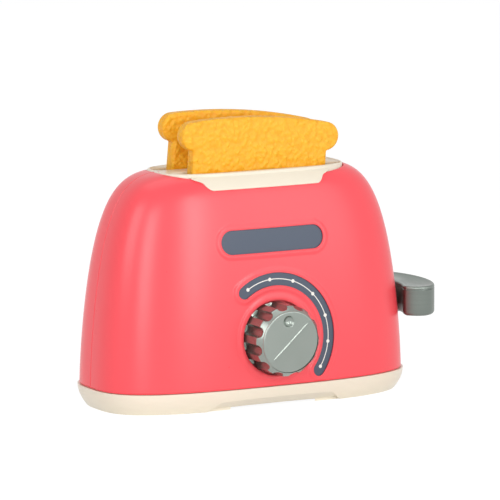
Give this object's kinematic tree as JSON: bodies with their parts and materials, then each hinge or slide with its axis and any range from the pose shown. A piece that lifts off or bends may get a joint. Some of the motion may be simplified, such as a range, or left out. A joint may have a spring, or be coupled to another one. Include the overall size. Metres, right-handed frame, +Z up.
{
  "type": "toy pop-up toaster",
  "caption": "Toy pop-up toaster with two lift-out bread slices, a push-down lever and a wind-up timer dial.",
  "frame": {"origin": "centre of the base on the plane it stands on", "axes": "+X along the body towards the lever, +Y from the dial side to the back, +Z up"},
  "size_m": [0.2018, 0.0972, 0.1529],
  "materials": {
    "coral_plastic": "satin moulded ABS",
    "cream_plastic": "satin moulded ABS",
    "silver_plastic": "silver-painted moulded ABS",
    "toast_plastic": "pebbled moulded polypropylene",
    "label_print": "printed inset",
    "scale_print": "printed inset",
    "white_acetal": "natural acetal",
    "zinc_steel": "zinc-plated steel",
    "spring_steel": "spring steel",
    "brass": "rolled brass"
  },
  "bodies": {
    "toaster": {"front_shell": "coral_plastic", "rear_shell": "coral_plastic", "base_tray": "cream_plastic", "slot_plate": "cream_plastic", "front_label": "label_print", "scale_label": "scale_print", "shell_screws": "zinc_steel", "base_screws": "zinc_steel", "mainspring": "spring_steel", "timer_front_plate": "zinc_steel", "timer_rear_plate": "zinc_steel", "timer_pillars": "brass", "pillar_screws": "zinc_steel", "timer_screws": "zinc_steel", "latch_pin": "zinc_steel", "latch_spring": "spring_steel", "guide_rods": "zinc_steel", "lift_springs": "spring_steel"},
    "carriage": {"bread_carriage": "white_acetal", "lever_handle": "silver_plastic", "lever_screw": "zinc_steel"},
    "front_slice": {"toast_front": "toast_plastic"},
    "rear_slice": {"toast_rear": "toast_plastic"},
    "dial": {"timer_knob": "silver_plastic", "knob_arbor": "zinc_steel", "main_wheel": "brass", "release_cam": "white_acetal"},
    "second_set": {"second_arbor": "brass", "second_wheel": "brass"},
    "fan_set": {"fan_arbor": "brass", "governor_fan": "white_acetal"},
    "latch": {"latch_arm": "white_acetal"}
  },
  "joints": [
    {"name": "carriage_slide", "type": "slide", "parent": "toaster", "child": "carriage", "axis": [0, 0, 1], "range_m": [-0.026, 0], "stiffness_N_per_m": 100, "springref_m": 0.032, "deforming": ["lift_springs"]},
    {"name": "front_slice_lift", "type": "slide", "parent": "carriage", "child": "front_slice", "axis": [0, 0, 1], "range_m": [0, 0.09]},
    {"name": "rear_slice_lift", "type": "slide", "parent": "carriage", "child": "rear_slice", "axis": [0, 0, 1], "range_m": [0, 0.09]},
    {"name": "dial_turn", "type": "hinge", "parent": "toaster", "child": "dial", "pos_m": [0, -0.0328, 0.0368], "axis": [0, 1, 0], "range_deg": [-31.5, 124]},
    {"name": "second_turn", "type": "hinge", "parent": "toaster", "child": "second_set", "pos_m": [0.0197, -0.0328, 0.05059], "axis": [0, 1, 0], "range_deg": [-372, 94.5]},
    {"name": "fan_turn", "type": "hinge", "parent": "toaster", "child": "fan_set", "pos_m": [-0.00065, -0.0328, 0.06008], "axis": [0, 1, 0], "range_deg": [-283.5, 1116]},
    {"name": "latch_swing", "type": "hinge", "parent": "toaster", "child": "latch", "pos_m": [-0.036, -0.0297, 0.024], "axis": [0, -1, 0], "range_deg": [0, 8], "stiffness_Nm_per_rad": 0.002}
  ],
  "couplings": [
    {"joint": "second_turn", "follows": "dial_turn", "ratio": -3},
    {"joint": "fan_turn", "follows": "dial_turn", "ratio": 9}
  ]
}
